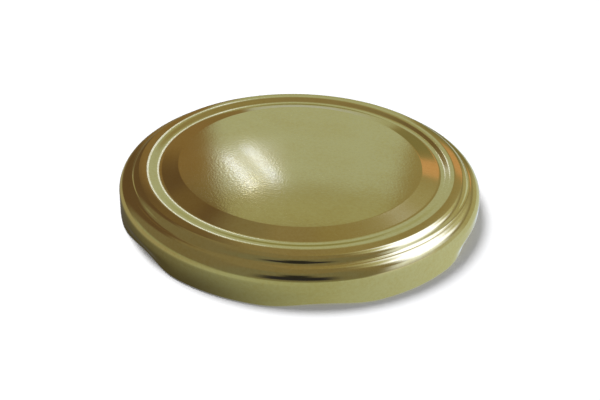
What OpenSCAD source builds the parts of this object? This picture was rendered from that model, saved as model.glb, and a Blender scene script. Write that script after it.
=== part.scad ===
// Six-lug closure for a wide-mouth glass jar, lying mouth down.
//
// The steel is pressed from one disc: a slightly domed panel, a groove, a raised ring,
// a stepped shoulder and a skirt that ends in an inward curl. The curl is pressed in at
// each lug. A ring of soft compound is cast into the channel under the raised ring.
//
// Origin: on the axis, in the plane the curl stands on. +Z is up, towards the panel.
// One lug lies a few degrees off -Y, as first_lug_angle says.

/* [Closure] */
// Diameter of the skirt under the shoulder
skirt_d = 85.5; // [60:0.1:110]
// Diameter over the curl
rim_d = 85.7; // [60.8:0.1:111]
// Height of the raised ring's crest above the standing plane, before it is rounded
crest_h = 10.45; // [8.5:0.05:16]
// Thickness of the tinplate
sheet_t = 0.25; // [0.18:0.01:0.4]

/* [Panel and rings] */
// Height of the panel's middle above its edge
panel_dome = 0.9; // [0.2:0.1:2.5]
// Height of the panel's edge above the bottom of the groove
panel_rise = 1.03; // [0.3:0.01:1.5]
// Width of the band between the panel's edge and the groove
panel_band_w = 4.68; // [2:0.01:8]
// Depth of the groove below the crest
groove_depth = 0.77; // [0.1:0.01:1]
// Width of the raised ring's inner face, from the groove to the crest
ring_w = 2.36; // [1.8:0.01:6]
// Width of the raised ring's outer face, from the crest to the fold
fold_band_w = 3.01; // [1.8:0.01:5]
// Drop of the fold below the crest
fold_drop = 0.37; // [0.1:0.01:1]
// Bend radius at the panel's edge
panel_bend_r = 1.2; // [0.6:0.1:2]
// Bend radius in the groove
groove_r = 3.2; // [0.6:0.1:4]
// Bend radius over the crest
crest_r = 3.6; // [0.6:0.1:4]

/* [Shoulder] */
// Width of the step below the fold
step_w = 0.85; // [0.6:0.05:2]
// Height of the step below the fold
step_h = 1.3; // [0.6:0.05:2]
// Bend radius on top of the step
step_top_r = 2; // [0.5:0.1:2]
// Bend radius at the foot of the step
step_foot_r = 1; // [0.4:0.1:1]
// Width of the shoulder's upper face, from the foot of the step to the skirt
ledge_w = 3.05; // [2.95:0.05:5]
// Fall of the shoulder's upper face
ledge_h = 0.55; // [0.05:0.01:1]
// Radius of the shoulder's outer corner
shoulder_r = 3; // [1:0.1:3]

/* [Lugs and curl] */
// Number of lugs
lug_n = 6; // [3:1:8]
// Half of the angle that one lug's dent spans
lug_half_angle = 17; // [8:0.5:20]
// How far the skirt is pressed in at a lug
lug_depth = 1.3; // [0.4:0.05:2]
// Radial width of the flattened curl at a lug
lug_w = 2.2; // [1.6:0.05:3]
// Height of the flattened curl at a lug
lug_h = 1.15; // [1:0.05:2]
// Height at which a lug's dent begins on the skirt
dent_h = 4; // [2.5:0.1:4]
// Outer diameter of the round curl between the lugs
curl_d = 1.4; // [1.3:0.05:2.2]
// Angle through which the edge is rolled
roll_angle = 285; // [200:5:290]
// Angle of one lug from the front, towards the right
first_lug_angle = 7; // [-30:1:30]

/* [Sealing compound] */
// Width of the cast ring
seal_w = 4.5; // [2:0.1:8]
// Clearance between the cast ring's side and the tips of the lugs, seen from below
seal_lug_gap = 0.5; // [0.2:0.1:2]
// Depth of the sealing face below the crest
seal_face_depth = 1.45; // [1.3:0.05:3]
// Size of the slope on the sealing face's edges
seal_edge = 0.3; // [0.1:0.05:0.4]
// Gap between compound and steel
seal_gap = 0.02; // [0.01:0.01:0.1]

/* [Smoothness] */
// Angle between two neighbouring points on a bend of the pressed top
bend_step_angle = 7; // [4:1:15]
// Number of sections swept round the skirt
skirt_sections = 120; // [60:12:144]
// Number of steps round the curl
curl_steps = 10; // [8:1:12]

/* [Hidden] */

skirt_r = skirt_d / 2;
rim_r = rim_d / 2;

// corners of the pressed top's outer face, each [radius, height]
shoulder_corner = [skirt_r, crest_h - fold_drop - step_h - ledge_h];
skirt_top = shoulder_corner - [0, shoulder_r];
step_foot = shoulder_corner + [-ledge_w, ledge_h];
step_top = step_foot + [-step_w, step_h];
crest = step_top + [-fold_band_w, fold_drop];
groove = crest + [-ring_w, -groove_depth];
panel_edge = groove + [-panel_band_w, panel_rise];

// the domed panel is part of a sphere
dome_r = (pow(panel_edge[0], 2) + pow(panel_dome, 2)) / (2 * panel_dome);
dome_angle = asin(panel_edge[0] / dome_r);
dome_centre_z = panel_edge[1] + panel_dome - dome_r;

// A face point is [radius, height, normal's radius part, normal's height part].
function face_point(p, angle) = [p[0], p[1], sin(angle), cos(angle)];
// slope of the line from a to b, in degrees below level
function fall(a, b) = atan2(a[1] - b[1], b[0] - a[0]);
function lerp(a, b, t) = a + (b - a) * t;
function smooth(t) = let(c = min(1, max(0, t))) c * c * (3 - 2 * c);

// face points of the arc of radius r that rounds corner b between a and c
function bend(a, b, c, r) =
    let(s0 = fall(a, b), s1 = fall(b, c), side = s1 > s0 ? 1 : -1,
        reach = r * tan(abs(s1 - s0) / 2),
        start = b - reach * [cos(s0), -sin(s0)],
        n = max(2, ceil(abs(s1 - s0) / bend_step_angle)))
    [for (i = [0 : n]) let(s = lerp(s0, s1, i / n))
        face_point(start + side * r * [sin(s) - sin(s0), cos(s) - cos(s0)], s)];

// the dome's last stretch, taken as straight, is the line that the edge's bend starts from
dome_tangent = panel_edge - panel_bend_r * [cos(dome_angle), -sin(dome_angle)];
dome_steps = 20;

// outer face of the pressed top, from the middle of the panel to the top of the skirt
top_face = concat(
    [for (i = [0 : dome_steps - 1]) let(s = dome_angle * i / dome_steps)
        face_point([dome_r * sin(s), dome_centre_z + dome_r * cos(s)], s)],
    bend(dome_tangent, panel_edge, groove, panel_bend_r),
    bend(panel_edge, groove, crest, groove_r),
    bend(groove, crest, step_top, crest_r),
    bend(crest, step_top, step_foot, step_top_r),
    bend(step_top, step_foot, shoulder_corner, step_foot_r),
    bend(step_foot, shoulder_corner, skirt_top, shoulder_r),
    [face_point(skirt_top, 90)]
);

// points on or below a face, depth measured along its normals
function face_at(face, depth) = [for (p = face) [p[0] - depth * p[2], p[1] - depth * p[3]]];
function reversed(list) = [for (i = [len(list) - 1 : -1 : 0]) list[i]];

// The skirt's top runs into the pressed top as a thinner lap, so that the two join in metal.
lap_h = 0.3;
lap_inset = 0.05;

// How far azimuth a lies inside a lug's dent: 1 in its middle, 0 outside it
function dent(a) =
    let(pitch = 360 / lug_n, from_first = a + 90 - first_lug_angle,
        off = abs(from_first - pitch * round(from_first / pitch)))
    off < lug_half_angle ? 0.5 + 0.5 * cos(180 * off / lug_half_angle) : 0;

skirt_steps = 5;
quarter_steps = 3;
// angle round the curl at step i: the lowest point is always one of the steps
function step_angle(i) = i <= quarter_steps ? -90 * i / quarter_steps :
    lerp(-90, -roll_angle, (i - quarter_steps) / (curl_steps - quarter_steps));
dent_top = min(dent_h, skirt_top[1] - lap_inset);

// outer face of the skirt and curl at one azimuth, where the dent is d
function skirt_face(d) =
    let(half_w = lerp(curl_d, lug_w, d) / 2, half_h = lerp(curl_d, lug_h, d) / 2,
        out_r = rim_r - lug_depth * d, top_z = skirt_top[1] - lap_inset)
    concat(
        [for (i = [0 : skirt_steps - 1])
            let(z = lerp(top_z, half_h, i / skirt_steps),
                plain = lerp(skirt_r, rim_r, (top_z - z) / (top_z - curl_d / 2)),
                pressed = smooth((dent_top - z) / (dent_top - half_h)))
            [plain - lug_depth * d * pressed, z]],
        [for (i = [0 : curl_steps]) let(a = step_angle(i))
            [out_r - half_w + half_w * cos(a), half_h + half_h * sin(a)]]
    );

// inner face of the same section, one sheet away
function skirt_back(d) =
    let(half_w = lerp(curl_d, lug_w, d) / 2, half_h = lerp(curl_d, lug_h, d) / 2,
        centre = [rim_r - lug_depth * d - half_w, half_h], outer = skirt_face(d))
    concat(
        [for (i = [0 : skirt_steps - 1]) outer[i] - [sheet_t, 0]],
        [for (i = [0 : curl_steps]) let(a = step_angle(i))
            centre + [(half_w - sheet_t) * cos(a), (half_h - sheet_t) * sin(a)]]
    );

// closed outline of the skirt's section: lap, outer face, inner face
function skirt_section(d) =
    let(r = skirt_r, z = skirt_top[1])
    concat(
        [[r - lap_inset, z + lap_h], [r - lap_inset, z]],
        skirt_face(d),
        reversed(skirt_back(d)),
        [[r - sheet_t + lap_inset, z], [r - sheet_t + lap_inset, z + lap_h]]
    );

// skirt, curl and lugs: one section swept round the axis
module skirt() {
    sections = [for (k = [0 : skirt_sections - 1])
        let(a = 360 * k / skirt_sections)
        [for (p = skirt_section(dent(a))) [p[0] * cos(a), p[0] * sin(a), p[1]]]];
    n = len(sections[0]);
    function at(k, i) = (k % skirt_sections) * n + i % n;
    polyhedron(
        points = [for (section = sections) each section],
        faces = [for (k = [0 : skirt_sections - 1], i = [0 : n - 1])
            each [[at(k, i), at(k + 1, i), at(k + 1, i + 1)],
                  [at(k, i), at(k + 1, i + 1), at(k, i + 1)]]]
    );
}

// the pressed steel: panel, rings, shoulder, skirt, curl and lugs
module shell() {
    color("darkkhaki") {
        rotate_extrude($fn = 180)
            polygon(concat(face_at(top_face, 0), reversed(face_at(top_face, sheet_t))));
        skirt();
    }
}

// the ring fills its channel out to the fold, and stays clear of the lugs' tips
seal_outer_r = min(step_top[0], rim_r - lug_depth - lug_w - seal_lug_gap);
seal_inner_r = seal_outer_r - seal_w;
seal_face_z = crest_h - seal_face_depth;
seal_edge_z = seal_face_z + seal_edge;

// the cast compound fills the channel up to the steel, and its face is flat
module sealing_ring() {
    steel = face_at(top_face, sheet_t + seal_gap);
    color("gainsboro")
        rotate_extrude($fn = 180)
            intersection() {
                polygon(concat(steel, [[0, skirt_top[1]]]));
                polygon([
                    [seal_inner_r, crest_h], [seal_outer_r, crest_h],
                    [seal_outer_r, seal_edge_z], [seal_outer_r - seal_edge, seal_face_z],
                    [seal_inner_r + seal_edge, seal_face_z], [seal_inner_r, seal_edge_z]
                ]);
            }
}

shell();
sealing_ring();
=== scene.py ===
# %% [markdown]
# # A gold jar lid
#
# This file builds the looks of a pressed steel lid for a glass jar, around a model whose size
# is already fixed. It is read from top to bottom, like a notebook: first the frame and the
# camera, then the two pieces of the lid, then their finishes, and at the end the small studio
# that the metal reflects.

from math import asin, atan2, cos, hypot, pi, radians, sin, tan

import bmesh
import bpy
from mathutils import Matrix, Vector


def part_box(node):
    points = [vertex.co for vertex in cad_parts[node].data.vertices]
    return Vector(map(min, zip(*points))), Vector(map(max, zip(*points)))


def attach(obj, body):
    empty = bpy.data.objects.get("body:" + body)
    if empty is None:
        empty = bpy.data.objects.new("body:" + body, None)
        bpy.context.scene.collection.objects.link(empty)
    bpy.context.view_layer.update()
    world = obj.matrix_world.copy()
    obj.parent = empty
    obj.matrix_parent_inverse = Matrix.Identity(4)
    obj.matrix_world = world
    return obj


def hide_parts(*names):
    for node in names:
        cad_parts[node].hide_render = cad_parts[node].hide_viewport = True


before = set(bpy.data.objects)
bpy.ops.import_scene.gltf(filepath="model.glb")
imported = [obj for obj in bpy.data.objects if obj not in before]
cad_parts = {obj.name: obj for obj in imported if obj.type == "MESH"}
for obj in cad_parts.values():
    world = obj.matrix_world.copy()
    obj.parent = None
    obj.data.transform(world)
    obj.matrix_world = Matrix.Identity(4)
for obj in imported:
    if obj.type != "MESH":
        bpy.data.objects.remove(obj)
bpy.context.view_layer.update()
shell_low, shell_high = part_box("shell")
ring_low, ring_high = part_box("sealing_ring")
print("shell from", tuple(shell_low), "to", tuple(shell_high))
print("compound from", tuple(ring_low), "to", tuple(ring_high))

# %% [markdown]
# ## Sizes
#
# A lid is drawn from one disc of tinplate, so a single outline, turned about the axis, gives
# nearly all of it. The outline is a chain of corners, each rounded by its own radius. The
# corners are worked out from the crest of the raised ring, because the crest is easy to find
# on a real lid: it is the ring that a straight edge rests on.

# %% Name the sizes, in metres
MM = 0.001
SHEET = 0.25 * MM
PANEL_DOME = 0.9 * MM
PANEL_EDGE_RISE = 0.31 * MM
PANEL_BAND_W = 4.68 * MM
RING_W = 2.36 * MM
GROOVE_DEPTH = 0.77 * MM
FOLD_BAND_W = 3.01 * MM
FOLD_DROP = 0.37 * MM
STEP_W = 0.85 * MM
STEP_H = 1.3 * MM
LEDGE_W = 3.05 * MM
LEDGE_H = 0.55 * MM
SHOULDER_DROP = 2.17 * MM

SKIRT_R = 42.75 * MM
RIM_R = 42.85 * MM
CURL_R = 0.7 * MM
CURL_TURN = radians(285)

PANEL_BEND_R = 1.2 * MM
GROOVE_BEND_R = 3.2 * MM
CREST_BEND_R = 3.6 * MM
STEP_TOP_R = 2.0 * MM
STEP_FOOT_R = 1.0 * MM
SHOULDER_R = 3.0 * MM

# %% Work out the corners of the outline, each as [radius, height]
CREST_Z = shell_high.z - PANEL_DOME - PANEL_EDGE_RISE
shoulder_corner = (SKIRT_R, CREST_Z - SHOULDER_DROP)
step_foot = (shoulder_corner[0] - LEDGE_W, shoulder_corner[1] + LEDGE_H)
step_top = (step_foot[0] - STEP_W, step_foot[1] + STEP_H)
crest = (step_top[0] - FOLD_BAND_W, step_top[1] + FOLD_DROP)
groove = (crest[0] - RING_W, crest[1] - GROOVE_DEPTH)
panel_edge = (groove[0] - PANEL_BAND_W, CREST_Z + PANEL_EDGE_RISE)
skirt_top = (SKIRT_R, shoulder_corner[1] - SHOULDER_R)
curl_start = (RIM_R, CURL_R)
print("radii: panel edge", panel_edge[0], "groove", groove[0], "crest", crest[0])

# %% [markdown]
# ## Camera
#
# The lid is seen from a third of the way up, from close by, which makes its near side look
# larger than its far side. The camera stands at a known elevation and distance from the middle
# of the crest. It is then tipped down a little, which puts the lid above the middle of the
# view, and rolled a little, as a camera held in the hand is.

# %% Place the camera
ELEVATION = radians(29.3)
DISTANCE = 208.75 * MM
YAW = radians(-0.043)
PITCH = radians(-2.535)
ROLL = radians(1.807)
LENS_MM = 52.6
NEAREST = 0.01

right = Vector((1, 0, 0))
backward = Vector((0, -cos(ELEVATION), sin(ELEVATION)))
facing = Matrix((right, backward.cross(right), backward)).transposed()
for angle, axis in ((YAW, "Y"), (PITCH, "X"), (ROLL, "Z")):
    facing = facing @ Matrix.Rotation(angle, 3, axis)

camera_data = bpy.data.cameras.new("camera")
camera_data.lens = LENS_MM
camera_data.clip_start = NEAREST
camera = bpy.data.objects.new("camera", camera_data)
camera_at = Vector((0, 0, CREST_Z)) + backward * DISTANCE
camera.matrix_world = Matrix.Translation(camera_at) @ facing.to_4x4()
bpy.context.scene.collection.objects.link(camera)
bpy.context.scene.camera = camera
print("camera at", tuple(round(value, 4) for value in camera_at))

# %% [markdown]
# ## Tools for an outline
#
# An outline is a chain of vertices and edges in the XZ plane, with X as the radius. It could be
# drawn as a curve object, but a bmesh chain can be bevelled at its vertices, and the vertex
# bevel is exactly how a press tool rounds a corner. An arc is one vertex that is spun about the
# arc's middle, because the spin operator leaves the edges between its steps behind.

# %% Draw a line to a point, and an arc about a point
def draw_to(bm, start, point):
    """adds a vertex at [radius, height] and joins it to start"""
    end = bm.verts.new((point[0], 0, point[1]))
    bm.edges.new((start, end))
    return end


def draw_arc(bm, start, middle, angle, steps):
    """spins start about middle, from the top towards larger radii, and returns the last vertex"""
    spun = bmesh.ops.spin(
        bm, geom=[start], cent=(middle[0], 0, middle[1]), axis=(0, 1, 0),
        angle=angle, steps=steps, use_duplicate=False,
    )
    return spun["geom_last"][0]


# %% Round a corner of a chain by a radius
def round_corner(bm, corner, radius, segments):
    """bevels one vertex so that its two edges meet in an arc of that radius"""
    before, after = [edge.other_vert(corner).co - corner.co for edge in corner.link_edges]
    turned = pi - before.angle(after)
    bmesh.ops.bevel(
        bm, geom=[corner], offset=radius * tan(turned / 2), offset_type="OFFSET",
        segments=segments, profile=0.5, affect="VERTICES", clamp_overlap=False, material=-1,
    )


# %% [markdown]
# ## Tools for a turned piece
#
# A full spin closes on itself when it is told to merge. The vertex on the axis is spun too, so
# its copies are merged afterwards, and only then are the normals made to point outwards,
# because faces that still have doubles in them confuse that step.

# %% Turn an outline about the axis, and make it an object
AROUND = 360
SAME_PLACE = 0.002 * MM


def turn_outline(bm):
    """spins the whole chain once about Z and leaves a clean skin that points outwards"""
    bmesh.ops.spin(
        bm, geom=bm.verts[:] + bm.edges[:], cent=(0, 0, 0), axis=(0, 0, 1),
        angle=2 * pi, steps=AROUND, use_merge=True,
    )
    bmesh.ops.remove_doubles(bm, verts=bm.verts[:], dist=SAME_PLACE)
    bmesh.ops.recalc_face_normals(bm, faces=bm.faces[:])


def make_piece(bm, name, material):
    """turns a bmesh into a smooth object in the scene"""
    mesh = bpy.data.meshes.new(name)
    bm.to_mesh(mesh)
    bm.free()
    mesh.shade_smooth()
    mesh.materials.append(material)
    piece = bpy.data.objects.new(name, mesh)
    bpy.context.scene.collection.objects.link(piece)
    return piece


def apply_modifiers(piece):
    """puts the result of the piece's modifiers into its own mesh"""
    graph = bpy.context.evaluated_depsgraph_get()
    finished = bpy.data.meshes.new_from_object(piece.evaluated_get(graph))
    piece.modifiers.clear()
    piece.data = finished


# %% [markdown]
# ## Tools for a material
#
# A finish is mostly arithmetic on a few noise patterns. Written as nodes it would take a page,
# so a small class wraps a socket and gives it the usual operators. Colours don't go through
# these, because a Math node makes a colour grey.

# %% Wrap a socket so that sums can be written as sums
class Value:
    """a socket of a node tree that can be added, subtracted, multiplied and divided"""

    def __init__(self, finish, socket):
        self.finish = finish
        self.socket = socket

    def maths(self, operation, *others):
        return self.finish.node(
            "ShaderNodeMath", {"operation": operation}, dict(enumerate((self,) + others)))

    def __add__(self, other):
        return self.maths("ADD", other)

    def __sub__(self, other):
        return self.maths("SUBTRACT", other)

    def __mul__(self, other):
        return self.maths("MULTIPLY", other)

    def __truediv__(self, other):
        return self.maths("DIVIDE", other)

    def __rsub__(self, other):
        return self.finish.node(
            "ShaderNodeMath", {"operation": "SUBTRACT"}, {0: other, 1: self})

    def ramp(self, low, high):
        """0 below low and 1 above high, with a soft passage between them"""
        return self.finish.node(
            "ShaderNodeMapRange", {"interpolation_type": "SMOOTHSTEP"},
            {"Value": self, "From Min": low, "From Max": high})


# %% Build a node tree through one method
class Finish:
    """a node tree of a material or of the world"""

    def __init__(self, owner):
        owner.use_nodes = True
        self.tree = owner.node_tree
        self.tree.nodes.clear()

    def node(self, kind, settings=None, sockets=None, output=0):
        """adds a node, sets it up, joins or sets its sockets, and returns one output"""
        node = self.tree.nodes.new(kind)
        for name, setting in (settings or {}).items():
            setattr(node, name, setting)
        for name, value in (sockets or {}).items():
            if isinstance(value, Value):
                self.tree.links.new(value.socket, node.inputs[name])
            else:
                node.inputs[name].default_value = value
        return Value(self, node.outputs[output]) if node.outputs else node

    def mix(self, first, second, share):
        """a colour that goes from first to second as share goes from 0 to 1"""
        return self.node(
            "ShaderNodeMix", {"data_type": "RGBA"}, {"Factor": share, "A": first, "B": second},
            "Result")

    def noise(self, place, scale, detail, roughness=0.5):
        """a soft random pattern with features of about 1 / scale metres"""
        return self.node(
            "ShaderNodeTexNoise", {},
            {"Vector": place, "Scale": scale, "Detail": detail, "Roughness": roughness})


# %% [markdown]
# ## Gold lacquer
#
# The tinplate is bright, and a thin transparent lacquer with a gold dye gives it its colour.
# The metal itself mirrors, and the lacquer adds a second, clearer gloss on top. Its colour has
# a faint mottle where the coat is a little thicker. Its surface is never quite level either: a
# grain of half a millimetre breaks up the mirror image. The panel is rolled metal and keeps
# that grain, but on the bends the press has stretched and burnished most of it away.

# %% Make the gold lacquer
GOLD = (0.53, 0.46, 0.175, 1)
GOLD_DEEP = (0.49, 0.40, 0.125, 1)
LACQUER_TINT = (0.85, 0.80, 0.55, 1)
MOTTLE_SCALE = 1400.0
CLOUD_SCALE = 90.0
GRAIN_SCALE = 2000.0
GRAIN_H = 0.009 * MM
PANEL_FADE = 1 * MM


def gold_lacquer():
    material = bpy.data.materials.new("gold_lacquer")
    finish = Finish(material)
    place = finish.node("ShaderNodeTexCoord", {}, {}, "Object")
    flat = finish.node(
        "ShaderNodeVectorMath", {"operation": "MULTIPLY"}, {0: place, 1: (1, 1, 0)})
    from_axis = finish.node("ShaderNodeVectorMath", {"operation": "LENGTH"}, {0: flat}, "Value")
    on_panel = 1 - from_axis.ramp(panel_edge[0] - PANEL_FADE, panel_edge[0] + PANEL_FADE)
    mottle = finish.noise(place, MOTTLE_SCALE, 3.0, 0.6)
    cloud = finish.noise(place, CLOUD_SCALE, 2.0)
    grain = finish.noise(place, GRAIN_SCALE, 1.0)
    colour = finish.mix(GOLD, GOLD_DEEP, (mottle * 0.7 + cloud * 0.5 - 0.1).ramp(0.3, 0.8))
    bump = finish.node(
        "ShaderNodeBump", {}, {"Height": grain * (on_panel * 0.9 + 0.1), "Strength": 1.0,
                               "Distance": GRAIN_H})
    shader = finish.node(
        "ShaderNodeBsdfPrincipled", {},
        {"Base Color": colour, "Metallic": 1.0, "Roughness": mottle * 0.08 + 0.06,
         "Normal": bump, "Specular Tint": LACQUER_TINT, "Coat Weight": 0.25,
         "Coat Roughness": 0.05, "Coat IOR": 1.5})
    finish.node("ShaderNodeOutputMaterial", {}, {"Surface": shader})
    return material


gold = gold_lacquer()
print("gold lacquer made")

# %% [markdown]
# ## Sealing compound
#
# The soft ring is cast as a liquid and cured, so its surface is matt and a little wavy, and it
# has the warm white of a rubbery plastic that light sinks into.

# %% Make the compound
COMPOUND = (0.72, 0.70, 0.62, 1)
COMPOUND_DEEP = (0.62, 0.59, 0.50, 1)
WAVE_SCALE = 160.0
PORE_SCALE = 4200.0
WAVE_H = 0.1 * MM


def soft_compound():
    material = bpy.data.materials.new("compound")
    finish = Finish(material)
    place = finish.node("ShaderNodeTexCoord", {}, {}, "Object")
    waves = finish.noise(place, WAVE_SCALE, 2.0)
    pores = finish.noise(place, PORE_SCALE, 3.0, 0.7)
    colour = finish.mix(COMPOUND, COMPOUND_DEEP, waves)
    bump = finish.node(
        "ShaderNodeBump", {}, {"Height": waves + pores * 0.3, "Strength": 0.35,
                               "Distance": WAVE_H})
    shader = finish.node(
        "ShaderNodeBsdfPrincipled", {},
        {"Base Color": colour, "Roughness": pores * 0.2 + 0.45, "Normal": bump,
         "Subsurface Weight": 0.1, "Subsurface Scale": 1.0 * MM})
    finish.node("ShaderNodeOutputMaterial", {}, {"Surface": shader})
    return material


compound = soft_compound()
print("compound made")

# %% [markdown]
# ## The shell
#
# On the real lid this is one disc of tinplate, drawn in a few strokes of a press: first the
# panel and its rings, then the shoulder and the skirt, and last the edge, which is rolled
# inwards so that nobody cuts a finger on it. It could be lofted from rings of vertices, but
# the press only knows outlines, so one outline is drawn, rounded and spun.

# %% Draw the outline of the shell's outer face
DOME_STEPS = 16
BEND_STEPS = 12
SKIRT_STEPS = 14
CURL_STEPS = 24


def shell_outline():
    bm = bmesh.new()
    dome_r = (panel_edge[0] ** 2 + PANEL_DOME ** 2) / (2 * PANEL_DOME)
    apex = bm.verts.new((0, 0, panel_edge[1] + PANEL_DOME))
    dome_angle = asin(panel_edge[0] / dome_r)
    dome_edge = draw_arc(bm, apex, (0, apex.co.z - dome_r), dome_angle, DOME_STEPS)
    bends = [
        (groove, GROOVE_BEND_R), (crest, CREST_BEND_R), (step_top, STEP_TOP_R),
        (step_foot, STEP_FOOT_R), (shoulder_corner, SHOULDER_R),
    ]
    corners = [(dome_edge, PANEL_BEND_R)]
    for point, radius in bends:
        corners.append((draw_to(bm, corners[-1][0], point), radius))
    last = draw_to(bm, corners[-1][0], skirt_top)
    for step in range(1, SKIRT_STEPS + 1):
        point = Vector(skirt_top).lerp(Vector(curl_start), step / SKIRT_STEPS)
        last = draw_to(bm, last, point)
    draw_arc(bm, last, (RIM_R - CURL_R, CURL_R), CURL_TURN, CURL_STEPS)
    for corner, radius in corners:
        round_corner(bm, corner, radius, BEND_STEPS)
    return bm


shell_mesh = shell_outline()
print("outline of", len(shell_mesh.verts), "points")

# %% Turn it about the axis
turn_outline(shell_mesh)
print("skin of", len(shell_mesh.faces), "faces")

# %% [markdown]
# ## The lugs
#
# At six places the rolled edge is pressed flat and inwards, and the skirt above it follows.
# These flats catch under the thread of the jar. They could be cut with a boolean, but the metal
# isn't cut there, it is pushed, so the vertices are pushed too: each one moves by how deep the
# dent is at its place round the lid.

# %% Press in the lugs
LUGS = 6
LUG_FIRST = radians(7)
LUG_HALF_ANGLE = radians(17)
LUG_DEPTH = 1.3 * MM
LUG_W = 2.2 * MM
LUG_H = 1.15 * MM
DENT_TOP = 4.0 * MM
SKIRT_TOP = skirt_top[1]
# a point is on the curl when it is no farther from the curl's middle than this, in radii
ON_CURL = 1.005


def blend(start, end, share):
    """start when share is 0, and end when it is 1"""
    return start + (end - start) * share


def dent_at(angle):
    """1 in the middle of a lug and 0 outside it"""
    pitch = 2 * pi / LUGS
    from_first = angle + pi / 2 - LUG_FIRST
    off = abs(from_first - pitch * round(from_first / pitch))
    return 0.5 + 0.5 * cos(pi * off / LUG_HALF_ANGLE) if off < LUG_HALF_ANGLE else 0


def pressed(radius, height, dent):
    """where a point of the plain skirt or curl goes when the dent is pressed in"""
    half_w = blend(CURL_R, LUG_W / 2, dent)
    half_h = blend(CURL_R, LUG_H / 2, dent)
    out = (radius - RIM_R + CURL_R) / CURL_R
    up = (height - CURL_R) / CURL_R
    if hypot(out, up) < ON_CURL:
        return RIM_R - LUG_DEPTH * dent - half_w + half_w * out, half_h + half_h * up
    height = blend(SKIRT_TOP, half_h, (SKIRT_TOP - height) / (SKIRT_TOP - CURL_R))
    share = min(1, max(0, (DENT_TOP - height) / (DENT_TOP - half_h)))
    return radius - LUG_DEPTH * dent * share * share * (3 - 2 * share), height


def press_lugs(bm):
    """moves the vertices of the skirt and curl, and returns how many moved"""
    moved = 0
    for vert in bm.verts:
        dent = dent_at(atan2(vert.co.y, vert.co.x))
        if dent > 0 and vert.co.z < SKIRT_TOP:
            radius = hypot(vert.co.x, vert.co.y)
            new_radius, height = pressed(radius, vert.co.z, dent)
            vert.co.x *= new_radius / radius
            vert.co.y *= new_radius / radius
            vert.co.z = height
            moved += 1
    return moved


print("lugs moved", press_lugs(shell_mesh), "vertices")

# %% Give the sheet its thickness
SHARP_FROM = radians(40)
shell = make_piece(shell_mesh, "lid_shell", gold)
wall = shell.modifiers.new("sheet", "SOLIDIFY")
wall.thickness = SHEET
wall.offset = -1
wall.use_even_offset = True
apply_modifiers(shell)
shell.data.set_sharp_from_angle(angle=SHARP_FROM)
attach(shell, "root")
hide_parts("shell")
print("shell of", len(shell.data.polygons), "faces, size", tuple(shell.dimensions))

# %% [markdown]
# ## The sealing ring
#
# The compound fills the channel under the raised ring, so its upper side has the steel's form
# and its lower side is flat with soft edges. It is a closed outline, spun like the shell.

# %% Cast the sealing ring
SEAL_W = 4.5 * MM
SEAL_EDGE_R = 0.3 * MM
SEAL_EDGE_STEPS = 6
# the upper face, from the inside outwards: how far in from the outer edge, how far from the top
SEAL_UPPER = [
    (SEAL_W, 0.47 * MM), (2.65 * MM, 0.01 * MM), (0.95 * MM, 0.2 * MM), (0, 0.58 * MM),
]


def sealing_ring():
    bm = bmesh.new()
    outer = ring_high.x
    bottom = ring_low.z
    lower_in = bm.verts.new((outer - SEAL_W, 0, bottom))
    last = lower_in
    for inset, depth in SEAL_UPPER:
        last = draw_to(bm, last, (outer - inset, ring_high.z - depth))
    lower_out = draw_to(bm, last, (outer, bottom))
    bm.edges.new((lower_out, lower_in))
    for corner in (lower_in, lower_out):
        round_corner(bm, corner, SEAL_EDGE_R, SEAL_EDGE_STEPS)
    turn_outline(bm)
    return make_piece(bm, "cast_sealing_ring", compound)


seal = sealing_ring()
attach(seal, "root")
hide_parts("sealing_ring")
print("sealing ring of", len(seal.data.polygons), "faces")

# %% [markdown]
# ## The studio
#
# A mirror looks like whatever stands round it, so most of this lid's look is made here. A real
# photographer would hang cards and paper round the table. The world does the same: it is told
# by direction how bright and how warm the room is. A pale wall stands behind the table, warm
# wood is on the left and overhead, a large window is on the right, and it is dark in front.
# Azimuth is counted from straight behind the lid towards the right, and elevation upwards from
# the table.

# %% Paint light by azimuth
DEGREE = 180 / pi


def opaque(colour):
    """a colour with full alpha"""
    return colour + (1,)


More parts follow.
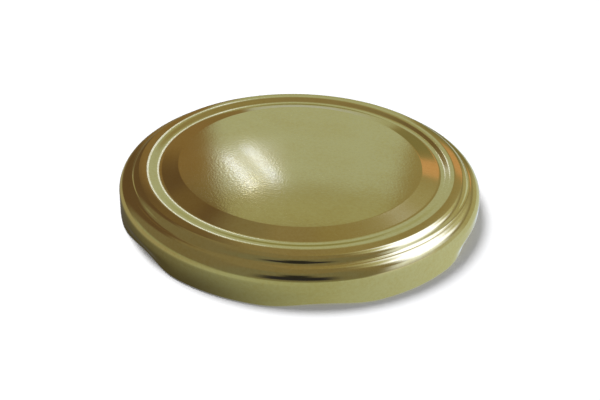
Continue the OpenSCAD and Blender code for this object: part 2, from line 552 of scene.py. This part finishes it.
class Painted(Finish):
    """a node tree whose colour is laid on in patches, by azimuth and by a second measure"""

    def start(self, colour, x, y, measure):
        """sets the first colour, the azimuth from x and y, and the second measure"""
        self.colour = opaque(colour)
        self.azimuth = x.maths("ARCTAN2", y) * DEGREE
        self.measure = measure

    def paint(self, colour, azimuths, measures, softness):
        """lays a colour over a span of azimuths and measures, with soft edges that wide"""
        middle = (azimuths[0] + azimuths[1]) / 2
        half = (azimuths[1] - azimuths[0]) / 2
        aside = (self.azimuth - middle).maths("WRAP", 180.0, -180.0).maths("ABSOLUTE")
        soft_aside, soft_up = softness[0] / 2, softness[1] / 2
        low, high = measures
        mask = 1 - aside.ramp(half - soft_aside, half + soft_aside)
        mask = mask * self.measure.ramp(low - soft_up, low + soft_up)
        mask = mask * (1 - self.measure.ramp(high - soft_up, high + soft_up))
        self.colour = self.mix(self.colour, opaque(colour), mask)

    def streak(self, colour, start, end, width):
        """lays a soft stripe from one place to another"""
        run = end[0] - start[0]
        rise = end[1] - start[1]
        length = hypot(run, rise)
        right = self.azimuth - start[0]
        up = self.measure - start[1]
        half = length / 2
        aside = ((right * rise - up * run) / length).maths("ABSOLUTE")
        past = ((right * run + up * rise) / length - half).maths("ABSOLUTE")
        mask = (1 - aside.ramp(0, width)) * (1 - past.ramp(half - width, half + width))
        self.colour = self.mix(self.colour, opaque(colour), mask)

    def parts_of(self, place):
        """the three numbers of a place or direction"""
        parts = self.tree.nodes.new("ShaderNodeSeparateXYZ")
        self.tree.links.new(place.socket, parts.inputs[0])
        return [Value(self, socket) for socket in parts.outputs]

    def rays(self):
        """two masks: 1 for a ray seen in a mirror, and 1 for a ray from the camera"""
        path = self.tree.nodes.new("ShaderNodeLightPath")
        return [Value(self, path.outputs[name]) for name in ("Is Glossy Ray", "Is Camera Ray")]


# %% Prepare the room, whose second measure is the elevation in degrees
WHITE = (1, 1, 1, 1)
ROOM_LIGHT = (0.245, 0.255, 0.30, 1)


class Room(Painted):
    """the world: a room for mirrors, plain light for other rays, and white for the camera"""

    def __init__(self, world, colour):
        super().__init__(world)
        x, y, z = self.parts_of(self.node("ShaderNodeTexCoord", {}, {}, "Generated"))
        self.start(colour, x, y, z.maths("ARCSINE") * DEGREE)

    def finish(self):
        in_mirror, in_camera = self.rays()
        light = self.mix(ROOM_LIGHT, self.colour, in_mirror)
        light = self.mix(light, WHITE, in_camera)
        ground = self.node("ShaderNodeBackground", {}, {"Color": light, "Strength": 1.0})
        self.node("ShaderNodeOutputWorld", {}, {"Surface": ground})


world = bpy.data.worlds.new("room")
bpy.context.scene.world = world
room = Room(world, (0.36, 0.31, 0.25))

# %% Paint the left of the room, down past the table's level, where the paper hides it
LOW = -40
room.paint((0.31, 0.27, 0.23), (-160, -50), (LOW, 66), (20, 14))
room.paint((0.50, 0.54, 0.50), (-160, -70), (LOW, 8), (12, 10))
room.paint((0.20, 0.13, 0.10), (-60, -14), (LOW, 50), (14, 8))
room.paint((0.38, 0.26, 0.17), (-21, -8), (LOW, 33), (6, 8))
room.paint((0.26, 0.18, 0.12), (-30, -10), (36, 45), (4, 5))

# %% Paint the wall behind the table
room.paint((0.42, 0.35, 0.27), (-10, 8), (42, 80), (8, 6))
room.paint((0.46, 0.40, 0.29), (6, 30), (8, 74), (8, 6))
room.paint((0.68, 0.77, 0.90), (-9, 11), (LOW, 35), (2.4, 4))
room.paint((0.58, 0.60, 0.52), (-9, 11.5), (35, 42), (2, 4))
room.paint((0.60, 0.66, 0.62), (-7, 11.5), (LOW, 14), (3, 10))
room.paint((0.72, 0.80, 1.15), (-7, 11.5), (LOW, 4), (3, 8))
room.paint((0.36, 0.26, 0.16), (-12, -6.5), (LOW, 12), (2, 6))

# %% Hang a pair of bright streaks on that wall, with a glint at the end of one
room.paint((0.88, 0.98, 1.5), (-8.5, -2.5), (26.5, 34.5), (4, 4))
room.streak((2.5, 2.9, 6.4), (-8.0, 28.6), (-5.6, 34.2), 1.0)
room.streak((2.5, 2.9, 6.4), (-5.8, 27.1), (-2.7, 33.3), 1.0)
room.streak((7, 7.5, 12), (-5.8, 33.8), (-4.9, 33.9), 0.4)

# %% Paint the right of the room
room.paint((0.34, 0.32, 0.22), (12.5, 26), (2, 19), (2, 5))
room.paint((0.62, 0.62, 0.54), (30, 70), (LOW, 20), (10, 8))
room.paint((0.95, 0.58, 0.44), (15, 26), (20.5, 27), (3, 2))
room.paint((0.72, 0.76, 0.80), (68, 100), (LOW, 20), (8, 10))
room.paint((0.98, 1.06, 1.40), (96, 138), (LOW, 8), (14, 8))
room.paint((0.80, 0.85, 0.85), (28, 104), (28, 69), (22, 14))

# %% Paint the window, which reaches lower on its right
room.paint((1.0, 1.1, 1.8), (96, 126), (9, 24), (18, 10))
room.paint((1.4, 1.6, 2.8), (78, 120), (20, 34), (18, 10))
room.paint((2.5, 2.9, 6.5), (57, 104), (31, 46), (18, 10))
room.paint((2.7, 3.1, 7.0), (30, 98), (42.5, 60), (16, 10))

# %% Paint the dark in front
room.paint((0.30, 0.29, 0.27), (132, 228), (4, 66), (24, 12))
room.paint((0.43, 0.49, 0.44), (140, 220), (LOW, 4), (20, 6))
room.paint((0.04, 0.04, 0.08), (158, 202), (15, 38), (16, 8))
room.paint((0.04, 0.04, 0.06), (170, 190), (30, 52), (12, 10))
room.finish()
print("room painted")

# %% [markdown]
# ## The table
#
# The table is white paper. It takes the lid's shadow from the lamp, and what little the lamp
# doesn't give it is added for the camera only, so that bare paper is white and the shadow
# stays. The steel mirrors the paper too. There it is brighter towards the window than away
# from it, and the lid's own shadow darkens it close by, so the paper is painted as the room is.

# %% Prepare the paper, whose second measure is the distance from the rim in millimetres
PAPER_R = 3.0
FAR = PAPER_R / MM
UNDER = -60
PAPER_GLOW = (0.10, 0.10, 0.10, 1)
PAPER_WHITE = (0.9, 0.9, 0.9, 1)
BLACK = (0, 0, 0, 1)


class Paper(Painted):
    """white paper for the camera, and painted light for mirrors"""

    def __init__(self, material, colour):
        super().__init__(material)
        place = self.node("ShaderNodeTexCoord", {}, {}, "Object")
        x, y, _ = self.parts_of(place)
        from_axis = self.node("ShaderNodeVectorMath", {"operation": "LENGTH"}, {0: place}, "Value")
        self.start(colour, x, y, (from_axis - RIM_R) / MM)

    def finish(self):
        in_mirror, in_camera = self.rays()
        glow = self.mix(BLACK, PAPER_GLOW, in_camera)
        glow = self.mix(glow, self.colour, in_mirror)
        lit = self.mix(PAPER_WHITE, BLACK, in_mirror)
        matt = self.node("ShaderNodeBsdfDiffuse", {}, {"Color": lit})
        light = self.node("ShaderNodeEmission", {}, {"Color": glow, "Strength": 1.0})
        both = self.node("ShaderNodeAddShader", {}, {0: matt, 1: light})
        self.node("ShaderNodeOutputMaterial", {}, {"Surface": both})


# %% Paint the paper as mirrors see it
white_paper = bpy.data.materials.new("paper")
paper = Paper(white_paper, (0.60, 0.67, 0.68))
paper.paint((0.84, 0.96, 1.20), (0, 150), (UNDER, FAR), (60, 4))
paper.paint((0.55, 0.52, 0.47), (-135, -15), (UNDER, FAR), (50, 4))
paper.paint((0.44, 0.48, 0.46), (-40, 38), (UNDER, FAR), (26, 4))
paper.paint((0.26, 0.20, 0.15), (-62, -28), (14, FAR), (10, 12))
paper.paint((0.13, 0.12, 0.11), (-170, -20), (UNDER, 7), (50, 14))
paper.finish()
print("paper painted")

# %% Cut the paper round
PAPER_SIDES = 64
table_mesh = bmesh.new()
bmesh.ops.create_circle(table_mesh, cap_ends=True, radius=PAPER_R, segments=PAPER_SIDES)
table = make_piece(table_mesh, "table", white_paper)
print("table of radius", PAPER_R, "m")

# %% [markdown]
# ## Lamp
#
# One soft lamp hangs high on the left behind the lid and throws the short shadow. It is hidden
# from the metal, where its disk would show as a spot that the room doesn't have.

# %% Hang the lamp
LAMP_AT = Vector((-0.30, 0.16, 0.90))
LAMP_SIZE = 0.45
LAMP_WATTS = 8.9

lamp_data = bpy.data.lights.new("lamp", "AREA")
lamp_data.shape = "DISK"
lamp_data.size = LAMP_SIZE
lamp_data.energy = LAMP_WATTS
lamp = bpy.data.objects.new("lamp", lamp_data)
towards_lid = LAMP_AT.to_track_quat("Z", "Y").to_matrix().to_4x4()
lamp.matrix_world = Matrix.Translation(LAMP_AT) @ towards_lid
lamp.visible_glossy = False
bpy.context.scene.collection.objects.link(lamp)
print("lamp", round(LAMP_AT.length, 2), "m away")

# %% [markdown]
# ## Finish
#
# The colours go to the screen as they are.

# %% Finish
bpy.context.scene.view_settings.view_transform = "Standard"
